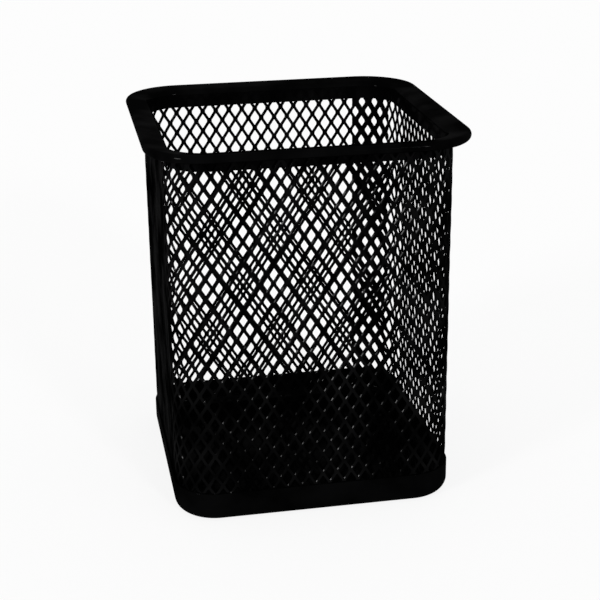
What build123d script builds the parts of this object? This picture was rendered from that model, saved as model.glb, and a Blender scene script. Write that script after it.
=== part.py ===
from build123d import *
from math import cos, degrees, floor, hypot, radians, sin
import os

# A square pen cup of black expanded steel mesh, standing on a table.
# The frame is X to the right, Y to the back and Z up, with the origin on the table
# under the middle of the cup. All sizes are in millimetres.

# ---- driving sizes ----

body_width = 75.0  # across the outside of two opposite mesh walls
overall_height = 101.5  # from the table to the highest line of the rim
corner_radius = 11.0  # outside of an upright corner of the mesh

mesh_sheet = 0.5  # thickness of the expanded sheet
mesh_pitch = 3.855  # one diamond to the next, round the cup
mesh_rise = 5.84  # one diamond to the next, up the cup
strand_width = 0.88  # a strand between two diamonds, measured square to it
first_column = 1.88  # from the inner end of the sheet to the first column of diamonds
first_row = 0.58  # height of the row that this column belongs to, at the inner end of the sheet
row_fall = 0.0102  # a row sinks this much for each millimetre along the sheet

lap_on_back = 1.0  # the sheet's inner end lies this far past the corner, on the back wall
lap_reach = 56.9  # degrees that its outer end reaches round that corner, from the back wall
lap_run = 2.0  # the sheet stays inside for this long on the right wall
lap_step = 2.5  # length of the step that then brings it back out
paint_gap = 0.05  # between faces that are pressed together and painted over

rim_sheet = 0.7  # thickness of the pressed rim
rim_depth = 5.5  # from the highest line of the rim to the lower edge of its inner band
rim_overhang = 4.6  # the rolled lip stands this far out from the mesh
rim_bend = 1.5  # radius of the bend between inner band and flange, on its outside
flange_slope = 8.0  # degrees that the flange rises on its way out
lip_roll = 1.15  # outer radius of the rolled lip
lip_turn = 248.0  # degrees that the rolled lip turns through

pan_sheet = 0.4  # thickness of the pressed floor pan
pan_height = 8.2  # from the table to the upper edge of its skirt
pan_bend = 3.0  # radius between floor and skirt, on the outside
pan_edge = 0.15  # rounding of the skirt's upper edge

weld_diameter = 1.0  # a weld that joins the rim's band to the mesh
welds_on_a_side = 3
weld_spacing = 18.0

# ---- what follows from them ----

half_body = body_width / 2
flat_half = half_body - corner_radius  # half of the flat part of a wall
mesh_inside = half_body - mesh_sheet
layer_step = mesh_sheet + paint_gap  # the lapped end lies this far inside the rest
lap_inside = mesh_inside - layer_step
band_outside = lap_inside - paint_gap
band_inside = band_outside - rim_sheet
mesh_bottom = pan_bend  # the mesh starts where the skirt of the pan becomes straight

strand_side = hypot(mesh_pitch, mesh_rise) / 2
strand_spacing = mesh_pitch * mesh_rise / 2 / strand_side
open_share = 1 - strand_width / strand_spacing
hole_half_width = mesh_pitch / 2 * open_share
hole_half_height = mesh_rise / 2 * open_share

slope = radians(flange_slope)
lip_centre = Vector(half_body + rim_overhang - lip_roll, overall_height - lip_roll)
flange_end = lip_centre + Vector(-sin(slope), cos(slope)) * lip_roll
flange_start_x = band_inside + rim_bend - rim_bend * sin(slope)
flange_run = (flange_end.X - flange_start_x) / cos(slope)
band_top = flange_end.Y - flange_run * sin(slope) - rim_bend * cos(slope)
band_bottom = overall_height - rim_depth
mesh_top = band_top  # the mesh ends where the band starts to bend over it


# ---- the mesh sleeve: one long sheet, bent round the cup and lapped at one corner ----
# A place on the sheet is given by its length along the sheet and its height.


def height_in_first_row(column):
    """Height of a column's diamond in the first row. Odd columns lie half a rise higher."""
    fall = row_fall * (first_column + column * mesh_pitch / 2)
    return first_row + (column % 2) * mesh_rise / 2 - fall


def holes_between(start, end):
    """Centres of the diamonds that reach into the sheet between two lengths along it."""
    centres = []
    half_pitch = mesh_pitch / 2
    column = floor((start - hole_half_width - first_column) / half_pitch)
    while first_column + column * half_pitch < end + hole_half_width:
        along = first_column + column * half_pitch
        height = height_in_first_row(column) - mesh_rise
        while height < mesh_top + hole_half_height:
            beside = start < along + hole_half_width and along - hole_half_width < end
            if beside and mesh_bottom < height + hole_half_height and height - hole_half_height < mesh_top:
                centres.append((along, height))
            height += mesh_rise
        column += 1
    return centres


def diamond(plane, along, height, depth=0.0):
    """Outline of a diamond, on a plane whose own axes run along and up the sheet."""
    corners = (
        (along - hole_half_width, height),
        (along, height - hole_half_height),
        (along + hole_half_width, height),
        (along, height + hole_half_height),
    )
    points = [plane.from_local_coords(Vector(x, y, depth)) for x, y in corners]
    return Wire.make_polygon(points, close=True)


def punch(plane, along, height):
    """A cutter for one diamond, square to the plane and through one layer of the sheet."""
    outline = diamond(plane, along, height, -layer_step)
    return extrude(Face(outline), amount=3 * layer_step, dir=plane.z_dir)


class SheetWalk:
    """Goes along the outer face of the sheet, clockwise from above, and makes a piece for each leg."""

    def __init__(self, here, heading):
        self.here = here
        self.heading = heading
        self.along = 0.0
        self.pieces = []
        self.walls = []

    def inward(self):
        return Vector(self.heading.Y, -self.heading.X)

    def plane(self):
        """A plane on the outer face, with its own x counted from the inner end of the sheet."""
        origin = self.here - self.heading * self.along
        return Plane(origin=origin, x_dir=self.heading, z_dir=self.inward())

    def straight(self, length):
        """A flat leg: its whole diamonds are holes in its face, and the others notch its edges."""
        plane, start, end = self.plane(), self.along, self.along + length
        whole, cut_off = [], []
        for along, height in holes_between(start, end):
            inside = (
                start < along - hole_half_width
                and along + hole_half_width < end
                and mesh_bottom < height - hole_half_height
                and height + hole_half_height < mesh_top
            )
            (whole if inside else cut_off).append((along, height))
        corners = ((start, mesh_bottom), (end, mesh_bottom), (end, mesh_top), (start, mesh_top))
        blank = Face(Wire.make_polygon([plane.from_local_coords(Vector(*c)) for c in corners], close=True))
        notched = blank.cut(*[Face(diamond(plane, *centre)) for centre in cut_off])
        *loose_strands, net = notched.faces().sort_by(SortBy.AREA)
        net = Face(net.outer_wire(), [diamond(plane, *centre) for centre in whole])
        for face in (*loose_strands, net):
            self.pieces.append(extrude(face, amount=mesh_sheet, dir=plane.z_dir))
        self.walls.append((plane, start, end))
        self.here += self.heading * length
        self.along = end

    def step_out(self, length):
        """A short slanting leg that ends one layer further out than it starts."""
        plane = self.plane()
        thickness = self.inward() * mesh_sheet
        there = self.here + self.heading * length - self.inward() * layer_step
        outline = (self.here, there, there + thickness, self.here + thickness)
        footprint = Face(Wire.make_polygon([corner + Vector(0, 0, mesh_bottom) for corner in outline], close=True))
        leg = extrude(footprint, amount=mesh_top - mesh_bottom, dir=(0, 0, 1))
        cutters = [punch(plane, *centre) for centre in holes_between(self.along, self.along + length)]
        self.pieces.append(leg.cut(*cutters))
        self.here = there
        self.along += length

    def bend(self, radius, turn=90):
        """A turn to the right, in degrees. Diamonds over its ends are cut square to the flat beside them."""
        middle_radius = radius - mesh_sheet / 2
        length = middle_radius * radians(turn)
        before, start = self.plane(), self.along
        centre = self.here + self.inward() * radius
        outward = -self.inward()
        inner = self.here + self.inward() * mesh_sheet
        edge = (self.here, inner, inner, self.here)
        levels = (mesh_bottom, mesh_bottom, mesh_top, mesh_top)
        section = Face(Wire.make_polygon([p + Vector(0, 0, z) for p, z in zip(edge, levels)], close=True))
        curved = revolve(section, Axis(centre, Vector(0, 0, -1)), turn).solid()
        self.here = centre + outward.rotate(Axis.Z, -turn) * radius
        self.heading = self.heading.rotate(Axis.Z, -turn)
        self.along = start + length
        after = self.plane()
        cutters = []
        for along, height in holes_between(start, self.along):
            if along < start + hole_half_width:
                cutters.append(punch(before, along, height))
            elif along > self.along - hole_half_width:
                cutters.append(punch(after, along, height))
            else:
                turned = outward.rotate(Axis.Z, -degrees((along - start) / middle_radius))
                tangent = Vector(turned.Y, -turned.X)
                face = Plane(origin=centre + turned * radius, x_dir=tangent, z_dir=-turned)
                cutters.append(punch(face, 0, height))
        self.pieces.append(curved.cut(*cutters))


def lay_sheet():
    """The sheet starts inside on the back wall, goes once round the cup and ends outside in the corner."""
    walk = SheetWalk(Vector(flat_half - lap_on_back, half_body - layer_step), Vector(1, 0))
    walk.straight(lap_on_back)
    walk.bend(corner_radius - layer_step)
    walk.straight(lap_run)
    walk.step_out(lap_step)
    walk.straight(2 * flat_half - lap_run - lap_step)
    for _ in range(3):
        walk.bend(corner_radius)
        walk.straight(2 * flat_half)
    walk.bend(corner_radius, lap_reach)
    return walk


def make_mesh_sleeve(walk):
    """The legs meet end to end, so they are glued at their ends into one sheet."""
    return walk.pieces[0].fuse(*walk.pieces[1:], glue=True)


# ---- the welds between the mesh and the rim's band ----


def nearest_crossing(along, height):
    """The crossing of two strands that lies nearest to a place on the sheet."""
    half_pitch = mesh_pitch / 2
    nearest = round((along - first_column) / half_pitch)
    crossings = []
    for column in (nearest - 1, nearest, nearest + 1):
        level = height_in_first_row(column) - mesh_rise / 2
        level += round((height - level) / mesh_rise) * mesh_rise
        crossings.append((first_column + column * half_pitch, level))
    return min(crossings, key=lambda place: hypot(place[0] - along, place[1] - height))


def make_rim_welds(walk):
    """Each weld reaches from the inside of the mesh, at a crossing, to the outside of the band."""
    weld_height = (band_bottom + band_top) / 2
    welds = []
    for plane, start, end in walk.walls:
        if end - start < 2 * weld_spacing:
            continue
        for i in range(welds_on_a_side):
            offset_from_middle = (i - (welds_on_a_side - 1) / 2) * weld_spacing
            along, height = nearest_crossing((start + end) / 2 + offset_from_middle, weld_height)
            foot = Plane(plane.from_local_coords(Vector(along, height, mesh_sheet)), z_dir=plane.z_dir)
            welds.append(Solid.make_cylinder(weld_diameter / 2, mesh_inside - band_outside, foot))
    return Compound(children=welds)


# ---- the rim: one pressed ring, with an inner band, a flange and a rolled lip ----


def carry_round(section):
    """Carries a section on the XZ plane round the cup: four straight sides and four quarter turns."""
    side = extrude(Pos(0, -flat_half, 0) * section, amount=2 * flat_half, dir=(0, 1, 0))
    corner_axis = Axis((flat_half, flat_half, 0), (0, 0, 1))
    corner = revolve(Pos(0, flat_half, 0) * section, corner_axis, 90)
    stretches = [Rot(0, 0, 90 * turn) * piece for turn in range(4) for piece in (side, corner)]
    return stretches[0].fuse(*stretches[1:], glue=True)


def make_top_rim():
    """Its section follows the visible face of the sheet, which is thickened towards the mesh."""
    band = Line((band_inside, band_bottom), (band_inside, band_top))
    bend = CenterArc((band_inside + rim_bend, band_top), rim_bend, 180, flange_slope - 90)
    flange = Line(bend @ 1, (flange_end.X, flange_end.Y))
    lip = CenterArc((lip_centre.X, lip_centre.Y), lip_roll, 90 + flange_slope, -lip_turn)
    skin = Wire([band, bend, flange, lip])
    return carry_round(Plane.XZ * make_face(skin.offset_2d(rim_sheet, side=Side.LEFT)))


# ---- the floor pan: a pressed tray whose skirt holds the foot of the mesh from outside ----


def make_floor_pan():
    pan_half = half_body + paint_gap + pan_sheet
    footprint = RectangleRounded(2 * pan_half, 2 * pan_half, corner_radius + paint_gap + pan_sheet)
    block = extrude(footprint, amount=pan_height)
    block = fillet(block.faces().sort_by(Axis.Z)[0].edges(), pan_bend)
    tray = offset(block, amount=-pan_sheet, openings=block.faces().sort_by(Axis.Z)[-1])
    return fillet(tray.faces().sort_by(Axis.Z)[-1].edges(), pan_edge)


# ---- the whole cup ----

os.makedirs("parts", exist_ok=True)
sheet_walk = lay_sheet()
nodes = {
    "mesh_sleeve": make_mesh_sleeve(sheet_walk),
    "rim_welds": make_rim_welds(sheet_walk),
    "top_rim": make_top_rim(),
    "floor_pan": make_floor_pan(),
}
for name, shape in nodes.items():
    export_step(shape, f"parts/{name}.step", write_pcurves=name != "mesh_sleeve")
    print(name, len(shape.solids()), "solids", round(sum(s.volume for s in shape.solids()), 1), "mm3")
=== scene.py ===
# %% [markdown]
# # A square pen cup of black expanded steel mesh
# The cup has four parts. A strip of expanded steel is bent round four corners and lapped on
# itself at the back right corner. A pressed rim covers its top edge, a pressed pan is its floor,
# and small spot welds join the rim to the mesh.
#
# Blender works in metres here, with the origin on the table under the middle of the cup. X
# points to the right, Y to the back and Z up. That model settles every size, and this script
# gives the parts their looks.

from math import ceil, copysign, cos, pi, radians, sin, sqrt

import bmesh
import bpy
from mathutils import Matrix, Vector, noise


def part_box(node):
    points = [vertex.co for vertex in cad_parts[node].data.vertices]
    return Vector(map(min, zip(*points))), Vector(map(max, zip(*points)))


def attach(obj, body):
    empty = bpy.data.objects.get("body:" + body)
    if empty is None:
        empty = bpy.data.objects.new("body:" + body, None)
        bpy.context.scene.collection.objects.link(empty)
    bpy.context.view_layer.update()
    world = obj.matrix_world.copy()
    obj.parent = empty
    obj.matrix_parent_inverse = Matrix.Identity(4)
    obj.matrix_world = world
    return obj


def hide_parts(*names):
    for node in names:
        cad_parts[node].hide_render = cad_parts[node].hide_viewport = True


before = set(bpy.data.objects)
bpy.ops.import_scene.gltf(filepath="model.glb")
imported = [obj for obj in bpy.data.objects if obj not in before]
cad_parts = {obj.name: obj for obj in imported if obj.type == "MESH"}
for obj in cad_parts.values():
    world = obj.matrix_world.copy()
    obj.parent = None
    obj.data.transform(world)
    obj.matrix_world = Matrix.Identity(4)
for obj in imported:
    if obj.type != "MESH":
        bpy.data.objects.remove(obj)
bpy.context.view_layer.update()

# %% [markdown]
# ## The sizes of the mesh
# Expanded steel starts as a plain sheet. A press cuts short slits into it and pulls it open, so
# every slit becomes a diamond. The wall's outside comes from the box of the solid mesh, and the
# other sizes are the ones that the solid model was made with. Only the strands are a little
# slimmer here, so that as much light comes through the twisted and uneven net as through real mesh.

# %% Sizes of the mesh, in metres
mm = 0.001
mesh_low, mesh_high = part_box("mesh_sleeve")
half_body = mesh_high.x
mesh_bottom = mesh_low.z
mesh_top = mesh_high.z

corner_radius = 11.0 * mm
mesh_sheet = 0.5 * mm
mesh_pitch = 3.855 * mm  # one diamond to the next, round the cup
mesh_rise = 5.84 * mm  # one diamond to the next, up the cup
strand_width = 0.85 * mm  # the solid has 0.88
strand_thickness = 0.47 * mm  # through its middle, where the solid has the whole sheet
first_column = 1.88 * mm  # from the inner end of the strip to a column of diamonds
first_row = 0.58 * mm  # height of that column's row at the inner end
row_fall = 0.0102  # a row sinks this much for each metre along the strip, in metres
flat_half = half_body - corner_radius

lap_on_back = 1.0 * mm  # the strip starts this far before the back right corner
lap_reach = radians(56.9)  # its outer end comes this far round that corner
lap_run = 2.0 * mm  # the strip stays inside for this long on the right wall
lap_step = 2.5 * mm  # and then it slants out over this length
paint_gap = 0.05 * mm  # between two layers that are pressed together and painted over
layer_step = mesh_sheet + paint_gap  # the inner layer lies this far inside the outer one
print("wall outside at", round(half_body / mm, 2), "mm, mesh up to", round(mesh_top / mm, 2), "mm")

# %% [markdown]
# ## The way of the strip round the cup
# The mesh is easiest to make flat, with X along the strip, Y up and Z into the cup. Afterwards
# each point is carried to its place on the walls. For that, the strip's outer face is written as
# a chain of legs: straight walls, quarter turns, one short slanting step where the strip comes
# out over its own hidden end, and a last turn that stops part of the way round that corner. A turn
# keeps the length of the middle of the sheet, because that is the line that neither stretches nor
# shrinks when steel is bent.

# %% The legs of the strip


class Leg:
    """One straight or one turn of the strip's outer face, seen from above."""

    def __init__(self, start, here, heading, length, radius=0.0, outward=0.0):
        self.start = start
        self.here = here
        self.heading = heading
        self.length = length
        self.radius = radius
        self.outward = outward

    def inward(self):
        """The direction into the cup where the leg starts."""
        return Vector((self.heading.y, -self.heading.x, 0))

    def place(self, along, depth):
        """The point of the sheet at a length along the strip and a depth from its outer face."""
        travelled = along - self.start
        if self.radius:
            centre = self.here + self.inward() * self.radius
            angle = travelled / (self.radius - mesh_sheet / 2)
            spoke = Matrix.Rotation(-angle, 3, "Z") @ -self.inward()
            return centre + spoke * (self.radius - depth)
        share = travelled / self.length
        return self.here + self.heading * travelled + self.inward() * (depth - self.outward * share)

    def end(self):
        """Where the next leg starts and its heading, after a straight or a quarter turn."""
        here = self.place(self.start + self.length, 0)
        return here, self.inward() if self.radius else self.heading


def turn(radius, angle=pi / 2):
    """The sizes of a leg that turns to the right, as long as the middle of the sheet."""
    return {"length": (radius - mesh_sheet / 2) * angle, "radius": radius}


def legs_of_the_strip():
    """All the legs, from the hidden end inside to the open end outside, clockwise from above."""
    plan = [
        {"length": lap_on_back},
        turn(corner_radius - layer_step),
        {"length": lap_run},
        {"length": lap_step, "outward": layer_step},
        {"length": 2 * flat_half - lap_run - lap_step},
    ]
    for _ in range(3):
        plan.append(turn(corner_radius))
        plan.append({"length": 2 * flat_half})
    plan.append(turn(corner_radius, lap_reach))
    here = Vector((flat_half - lap_on_back, half_body - layer_step, 0))
    heading = Vector((1, 0, 0))
    start = 0.0
    legs = []
    for sizes in plan:
        legs.append(Leg(start, here, heading, **sizes))
        start += sizes["length"]
        here, heading = legs[-1].end()
    return legs


legs = legs_of_the_strip()
strip_length = legs[-1].start + legs[-1].length
print("strip of", round(strip_length / mm, 1), "mm in", len(legs), "legs")

# %% [markdown]
# ## A flat net of diamonds
# A grid of squares, turned by 45 degrees and stretched, has one face for each diamond. Working
# with whole diamonds first and trimming afterwards leaves cut strands at the borders, just as the
# shears do.

# %% Make the net of diamonds
spare_cells = 4  # squares beyond those that the strip needs, on each side of the grid


def diamond_net():
    """A net that covers the strip, with its diamonds on the strip's columns and rows."""
    columns = strip_length / (mesh_pitch / 2)
    rows = (mesh_top - mesh_bottom) / (mesh_rise / 2)
    half_side = ceil((columns + rows) / 4) + spare_cells  # in squares of the grid
    net = bmesh.new()
    bmesh.ops.create_grid(net, x_segments=2 * half_side, y_segments=2 * half_side, size=half_side)
    bmesh.ops.rotate(net, verts=net.verts, cent=(0, 0, 0), matrix=Matrix.Rotation(pi / 4, 3, "Z"))
    bmesh.ops.scale(net, verts=net.verts, vec=(mesh_pitch / sqrt(2), mesh_rise / sqrt(2), 1))
    # The middle of the grid is a crossing, and it goes half a rise above the middle of a diamond.
    middle = Vector((strip_length, mesh_bottom + mesh_top, 0)) / 2
    to_column = first_column + round((middle.x - first_column) / mesh_pitch) * mesh_pitch
    to_row = first_row + (round((middle.y - first_row) / mesh_rise) + 0.5) * mesh_rise
    bmesh.ops.translate(net, verts=net.verts, vec=(to_column, to_row, 0))
    return net


def outside_of_strip(face):
    """Whether a diamond stays off the strip, also once the net is pulled askew."""
    middle = face.calc_center_median()
    beside = middle.x < -mesh_pitch or middle.x > strip_length + mesh_pitch
    return beside or middle.y < mesh_bottom - mesh_rise or middle.y > mesh_top + 2 * mesh_rise


net = diamond_net()
bmesh.ops.delete(net, geom=[face for face in net.faces if outside_of_strip(face)], context="FACES")
print(len(net.faces), "diamonds")

# %% [markdown]
# ## Pull the net a little askew
# The rows of a real net never run quite level, and its columns never stand quite upright. Here
# the rows sink a little along the strip, as in the solid model. On top of that they climb a
# little towards the right of the cup, and the columns lean a little to the right, on the front
# wall and the back wall alike. Where one wall is seen through the other, this sets how the two
# nets beat against each other. Only the crossings are moved here, so every strand stays straight.

# %% Move the crossings of the net
row_climb = 0.0216  # upwards, for each metre to the right
column_lean = 0.0173  # to the right, for each metre upwards


def leg_at(along):
    """The leg that carries a place along the strip, or the first one for places before it."""
    for leg in reversed(legs):
        if along >= leg.start:
            return leg
    return legs[0]


middle_height = (mesh_bottom + mesh_top) / 2
for crossing in net.verts:
    along, height = crossing.co.xy
    here = leg_at(along).place(along, 0)
    rightward = (leg_at(along).place(along + mm, 0) - here).x / mm  # 1 at the back, -1 at the front
    crossing.co.x += column_lean * rightward * (height - middle_height)
    crossing.co.y += row_climb * here.x - row_fall * along
print("moved", len(net.verts), "crossings")

# %% [markdown]
# ## Knuckles, strands and holes
# A small bevel at the crossings gives each knuckle its own plate and blunts the corners of the
# diamonds, as in real expanded steel. Two insets then leave half a strand round every diamond: a
# flat part, and a narrow border that becomes the rounded edge. What is inside them is the hole.
# The lines down the middle of the strands have done their work by then. Dissolving them joins the
# two halves of a strand into one flat face and keeps the mesh light.

# %% Bevel the crossings, inset the diamonds and join the halves of the strands
knuckle_reach = 0.5 * mm  # from a crossing to the edge of its plate, along a strand
edge_round = 0.2 * mm  # this much of a strand's face is rounded, at either edge

crossings = list(net.verts)
bmesh.ops.bevel(
    net,
    geom=crossings,
    offset=knuckle_reach,
    offset_type="OFFSET",
    segments=1,
    profile=0.5,
    affect="VERTICES",
    material=-1,
)
diamonds = [face for face in net.faces if len(face.verts) > 4]
middle_lines = list(dict.fromkeys(edge for diamond in diamonds for edge in diamond.edges))
for border in (strand_width / 2 - edge_round, edge_round):
    bmesh.ops.inset_individual(net, faces=diamonds, thickness=border, use_even_offset=True)
bmesh.ops.dissolve_edges(net, edges=middle_lines, use_verts=True)
print(len(net.faces) - len(diamonds), "faces of steel round", len(diamonds), "holes")

# %% [markdown]
# ## Twisted and rounded strands
# Pulling the slits open turns each strand like the slat of a blind: the side of a hole towards
# one end of the strip stands out and the other side stands in. The press and the paint round the
# strands, so that their edges lie deeper than their middle. Both are small moves, into the sheet,
# of the points round each hole. Cut planes then trim the borders of the net, and a region extrude
# gives it its second face, which is rounded the other way.

# %% Twist the strands, open the holes and trim the borders
strand_twist = 0.02 * mm  # one edge of a strand turns this far out, and the other this far in
strand_crown = 0.17 * mm  # a strand's edges lie this much deeper than its middle

edge_mark = net.verts.layers.int.new("edge_of_strand")
for diamond in diamonds:
    middle = diamond.calc_center_median()
    for corner in diamond.verts:
        side = copysign(1, corner.co.x - middle.x)
        corner.co.z = strand_crown - strand_twist * side
        corner[edge_mark] = 1
bmesh.ops.delete(net, geom=diamonds, context="FACES")


def trim(point, outward):
    """Cuts off what lies on the outward side of a plane."""
    everything = net.verts[:] + net.edges[:] + net.faces[:]
    bmesh.ops.bisect_plane(net, geom=everything, plane_co=point, plane_no=outward, clear_outer=True)


trim((0, 0, 0), (-1, 0, 0))
trim((strip_length, 0, 0), (1, 0, 0))
trim((0, mesh_bottom, 0), (0, -1, 0))
trim((0, mesh_top, 0), (0, 1, 0))

second = bmesh.ops.extrude_face_region(net, geom=net.faces[:], use_keep_orig=True)
for point in second["geom"]:
    if isinstance(point, bmesh.types.BMVert):
        point.co.z += strand_thickness - 2 * strand_crown * point[edge_mark]
bmesh.ops.recalc_face_normals(net, faces=net.faces)
print(len(net.faces), "faces in the net")

# %% [markdown]
# ## Bend the net round the cup
# Real mesh is never quite even: the rows hang a little between the corners and the strands wander
# by a tenth of a millimetre. The unevenness comes from Blender's smooth noise. Its seed makes it
# the same on every run, and it fades out where the net meets the rim and the pan. The shading is
# smooth, except across edges that turn sharply, so the strands' slanting edges catch the light.

# %% Carry every point of the net to its place
wander = 0.10 * mm
wander_length = 22 * mm
fade_length = 15 * mm  # the wandering grows over this length, from the rim and from the pan
wander_seed = 1
sharp_edge = radians(30)

noise.seed_set(wander_seed)
for point in net.verts:
    along, height, depth = point.co
    place = leg_at(along).place(along, depth)
    place.z = height
    free = min(1.0, (height - mesh_bottom) / fade_length, (mesh_top - height) / fade_length)
    drift = noise.noise_vector(place / wander_length)
    point.co = place + drift * wander * max(free, 0.0)

mesh_data = bpy.data.meshes.new("expanded_mesh")
net.to_mesh(mesh_data)
net.free()
mesh_data.shade_smooth()
mesh_data.set_sharp_from_angle(angle=sharp_edge)
expanded_mesh = bpy.data.objects.new("expanded_mesh", mesh_data)
bpy.context.scene.collection.objects.link(expanded_mesh)
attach(expanded_mesh, "root")
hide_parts("mesh_sleeve")
triangles = sum(len(polygon.vertices) - 2 for polygon in mesh_data.polygons)
print("expanded mesh:", triangles, "triangles")

# %% [markdown]
# ## Black paint
# The whole cup is sprayed in one deep black paint. It is never one flat colour: it is a little
# thinner here and there, its gloss changes over a few millimetres, and its skin has the fine swell
# called orange peel. Noise textures on Object coordinates, which are metres here, give all three.
# A glossy black shader would turn grey wherever it is seen at a flat angle, because any surface
# then mirrors the white room. So the shader itself doesn't shine, and a weak coat on top of it
# carries the small sharp glints. A coat with a high IOR can be weaker for the same glint, and then
# it mirrors less of the room at flat angles.

# %% A helper for black paints
coat_ior = 2.2
cloud_scale = 80  # clouds to the metre
cloud_detail = 3
cloud_tones = (0.3, 0.75)  # values of the noise at which the paint is darkest and lightest
cloud_gloss = (0.4, 0.62)  # values at which its gloss is weakest and strongest
skin_detail = 2
skin_strength = 0.4


def join(tree, source, output, target, socket):
    """Links an output of one node to a socket of another."""
    tree.links.new(source.outputs[output], target.inputs[socket])


def black_paint(name, dark, light, rough, coat, coat_rough, skin_scale, skin_height):
    """Colours as red, green, blue. The roughness and the coat run between two values each."""
    paint = bpy.data.materials.new(name)
    paint.use_nodes = True
    tree = paint.node_tree
    shader = tree.nodes["Principled BSDF"]
    shader.inputs["Specular IOR Level"].default_value = 0.0
    shader.inputs["Coat IOR"].default_value = coat_ior
    shader.inputs["Coat Roughness"].default_value = coat_rough
    place = tree.nodes.new("ShaderNodeTexCoord")

    clouds = tree.nodes.new("ShaderNodeTexNoise")
    clouds.inputs["Scale"].default_value = cloud_scale
    clouds.inputs["Detail"].default_value = cloud_detail
    join(tree, place, "Object", clouds, "Vector")

    tone = tree.nodes.new("ShaderNodeValToRGB")
    for element, colour, position in zip(tone.color_ramp.elements, (dark, light), cloud_tones):
        element.color = (*colour, 1)
        element.position = position
    join(tree, clouds, "Fac", tone, "Fac")
    join(tree, tone, "Color", shader, "Base Color")

    for (low, high), socket in ((rough, "Roughness"), (coat, "Coat Weight")):
        gloss = tree.nodes.new("ShaderNodeMapRange")
        gloss.inputs["From Min"].default_value = cloud_gloss[0]
        gloss.inputs["From Max"].default_value = cloud_gloss[1]
        gloss.inputs["To Min"].default_value = low
        gloss.inputs["To Max"].default_value = high
        join(tree, clouds, "Fac", gloss, "Value")
        join(tree, gloss, "Result", shader, socket)

    skin = tree.nodes.new("ShaderNodeTexNoise")
    skin.inputs["Scale"].default_value = skin_scale
    skin.inputs["Detail"].default_value = skin_detail
    join(tree, place, "Object", skin, "Vector")
    swell = tree.nodes.new("ShaderNodeBump")
    swell.inputs["Strength"].default_value = skin_strength
    swell.inputs["Distance"].default_value = skin_height
    join(tree, skin, "Fac", swell, "Height")
    for socket in ("Normal", "Coat Normal"):
        join(tree, swell, "Normal", shader, socket)
    return paint


# %% [markdown]
# ## One paint, four surfaces
# The same paint comes out a little different on each part. On the mesh it gathers along the
# strands, with a coarse skin and clear patches of gloss. On the smooth pressed rim and pan it lies
# flat and fine. Over the welds it is rough, because the heat left the steel uneven.

# %% Paint the four parts
deep_black = (0.0003, 0.0003, 0.0003)
thin_black = (0.0009, 0.0009, 0.0010)

mesh_paint = black_paint(
    "mesh_paint",
    dark=deep_black,
    light=thin_black,
    rough=(0.50, 0.75),
    coat=(0.0, 0.02),
    coat_rough=0.08,
    skin_scale=300,
    skin_height=0.05 * mm,
)
rim_paint = black_paint(
    "rim_paint",
    dark=deep_black,
    light=thin_black,
    rough=(0.45, 0.70),
    coat=(0.003, 0.012),
    coat_rough=0.06,
    skin_scale=600,
    skin_height=0.02 * mm,
)
pan_paint = black_paint(
    "pan_paint",
    dark=deep_black,
    light=thin_black,
    rough=(0.40, 0.60),
    coat=(0.002, 0.008),
    coat_rough=0.06,
    skin_scale=500,
    skin_height=0.02 * mm,
)
weld_paint = black_paint(
    "weld_paint",
    dark=(0.0004, 0.0004, 0.0004),
    light=(0.0012, 0.0012, 0.0012),
    rough=(0.55, 0.80),
    coat=(0.004, 0.012),
    coat_rough=0.20,
    skin_scale=1500,
    skin_height=0.05 * mm,
)

expanded_mesh.data.materials.append(mesh_paint)
for node, paint in (("top_rim", rim_paint), ("floor_pan", pan_paint), ("rim_welds", weld_paint)):
    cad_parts[node].material_slots[0].material = paint
print("painted", len(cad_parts), "parts")

# %% [markdown]
# ## The table
# The cup stands on a plain white table, which is one large plane. Light Path tells what kind of
# ray meets it. The camera, mirror-like reflections and clear materials see mostly plain white, so
# the background stays white without more light on the cup. The rest of the white paint still
# takes light, and so the shadow of the cup stays on it.

# %% A helper that tells the rays apart


def seen_directly(tree):
    """1 for the camera, mirror-like reflections and clear materials, and 0 for all other rays."""
    ray = tree.nodes.new("ShaderNodeLightPath")
    looks = tree.nodes.new("ShaderNodeMath")
    looks.operation = "ADD"
    join(tree, ray, "Is Camera Ray", looks, 0)
    join(tree, ray, "Is Glossy Ray", looks, 1)
    either = tree.nodes.new("ShaderNodeMath")
    either.operation = "MAXIMUM"
    join(tree, looks, "Value", either, 0)
    join(tree, ray, "Is Transmission Ray", either, 1)
    return either


# %% The table
table_half = 3.0
table_colour = (0.95, 0.95, 0.95, 1)
shadow_share = 0.15  # the part of the white that takes light and shadow in the camera's view

table_net = bmesh.new()
bmesh.ops.create_grid(table_net, x_segments=1, y_segments=1, size=table_half)
table_data = bpy.data.meshes.new("table")
table_net.to_mesh(table_data)
table_net.free()
table = bpy.data.objects.new("table", table_data)
bpy.context.scene.collection.objects.link(table)

table_white = bpy.data.materials.new("table_white")
table_white.use_nodes = True
tree = table_white.node_tree
tree.nodes.clear()
matt = tree.nodes.new("ShaderNodeBsdfDiffuse")
matt.inputs["Color"].default_value = table_colour
glow = tree.nodes.new("ShaderNodeEmission")
share = tree.nodes.new("ShaderNodeMath")
share.operation = "MULTIPLY"
share.inputs[1].default_value = 1 - shadow_share
join(tree, seen_directly(tree), "Value", share, 0)
mix = tree.nodes.new("ShaderNodeMixShader")
output = tree.nodes.new("ShaderNodeOutputMaterial")
join(tree, share, "Value", mix, "Fac")
tree.links.new(matt.outputs["BSDF"], mix.inputs[1])
tree.links.new(glow.outputs["Emission"], mix.inputs[2])
join(tree, mix, "Shader", output, "Surface")
table.data.materials.append(table_white)
print("table:", round(2 * table_half, 1), "m wide")

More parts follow.
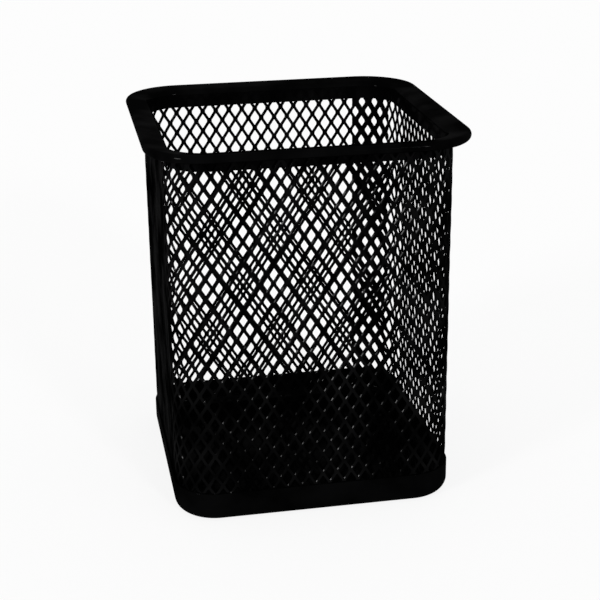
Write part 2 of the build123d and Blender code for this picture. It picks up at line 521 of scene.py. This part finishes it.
# %% [markdown]
# ## The white room and its windows
# The world is a plain white room. Like the table, it is pure white to the camera and in
# reflections, and gives the cup a little less light than that. Two far lamps stand for the
# windows of the room. They are narrow and stand low, so that they glint on the slanting edges of
# the strands: the left one on the strands that rise to the right, and the right one at the
# corner of the cup that is nearest to it.

# %% The world and the lamps
room_light = 0.65  # strength of the world for rays that light the cup

world = bpy.data.worlds.new("white_room")
bpy.context.scene.world = world
world.use_nodes = True
tree = world.node_tree
tree.nodes.clear()
room = tree.nodes.new("ShaderNodeBackground")
room.inputs["Color"].default_value = (1, 1, 1, 1)
strength = tree.nodes.new("ShaderNodeMath")
strength.operation = "MAXIMUM"
strength.inputs[1].default_value = room_light
join(tree, seen_directly(tree), "Value", strength, 0)
join(tree, strength, "Value", room, "Strength")
output = tree.nodes.new("ShaderNodeOutputWorld")
join(tree, room, "Background", output, "Surface")


def soft_sun(name, towards, width, strength):
    """A far lamp towards a direction, with a width in degrees and watts per square metre."""
    light = bpy.data.lights.new(name, "SUN")
    light.angle = radians(width)
    light.energy = strength
    lamp = bpy.data.objects.new(name, light)
    lamp.rotation_euler = (-Vector(towards)).to_track_quat("-Z", "Y").to_euler()
    bpy.context.scene.collection.objects.link(lamp)
    print(name, "fills", width, "degrees of the sky")


soft_sun("left_window", (-0.82, -0.51, 0.25), 12, 1.8)
soft_sun("right_window", (0.32, -0.89, 0.33), 8, 1.2)

# %% [markdown]
# ## The camera
# The camera stands to the left of the cup and above it, and looks down into it. Its place is
# written in millimetres of the frame, and its direction as a turn to the right, a tilt down and
# a small roll. A long lens keeps the upright edges nearly parallel.

# %% Set up the camera
camera_place = Vector((-67.01, -373.06, 188.8)) * mm
camera_turn = radians(10.51)
camera_tilt = radians(20.49)
camera_roll = radians(-0.67)
camera_lens = 85.85

ahead = Vector(
    (sin(camera_turn) * cos(camera_tilt), cos(camera_turn) * cos(camera_tilt), -sin(camera_tilt))
)
level_right = Vector((cos(camera_turn), -sin(camera_turn), 0))
level_up = level_right.cross(ahead)
right = level_right * cos(camera_roll) + level_up * sin(camera_roll)
up = level_up * cos(camera_roll) - level_right * sin(camera_roll)
turned = Matrix((right, up, -ahead)).transposed().to_4x4()
lens = bpy.data.cameras.new("camera")
lens.lens = camera_lens
lens.clip_start = 0.01
camera = bpy.data.objects.new("camera", lens)
camera.matrix_world = Matrix.Translation(camera_place) @ turned
bpy.context.scene.collection.objects.link(camera)
bpy.context.scene.camera = camera
bpy.context.scene.view_settings.view_transform = "Standard"
print("camera", round(camera_place.length / mm), "mm from the origin")
